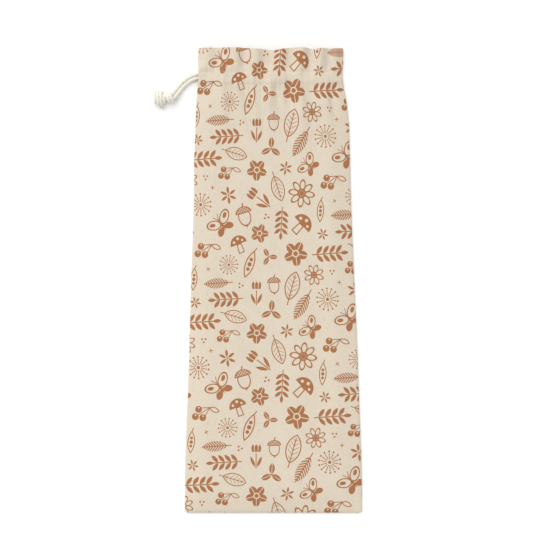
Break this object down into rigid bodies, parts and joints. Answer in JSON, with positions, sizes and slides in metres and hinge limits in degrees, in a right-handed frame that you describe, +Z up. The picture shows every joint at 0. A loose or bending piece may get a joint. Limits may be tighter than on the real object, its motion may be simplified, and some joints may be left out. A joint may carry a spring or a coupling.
{
  "type": "linen bread bag with a drawstring",
  "caption": "Long flat cloth bag for bread, lying empty, with a hemmed mouth gathered on a cord that is tied in a knot at its left side.",
  "frame": {"origin": "middle of the bag's outline on the surface that it lies on, its cord left out", "axes": "+X across the bag, away from the cord; +Y along the bag, from its sewn bottom to its mouth; +Z up from the surface"},
  "size_m": [0.2948, 0.657, 0.0139],
  "materials": {
    "cloth": "unbleached plain weave with a brown print",
    "cord": "twisted off-white cotton"
  },
  "bodies": {
    "root": {"front_panel": "cloth", "back_panel": "cloth", "drawstring_upper": "cord", "drawstring_lower": "cord", "drawstring_knot": "cord"}
  },
  "joints": []
}
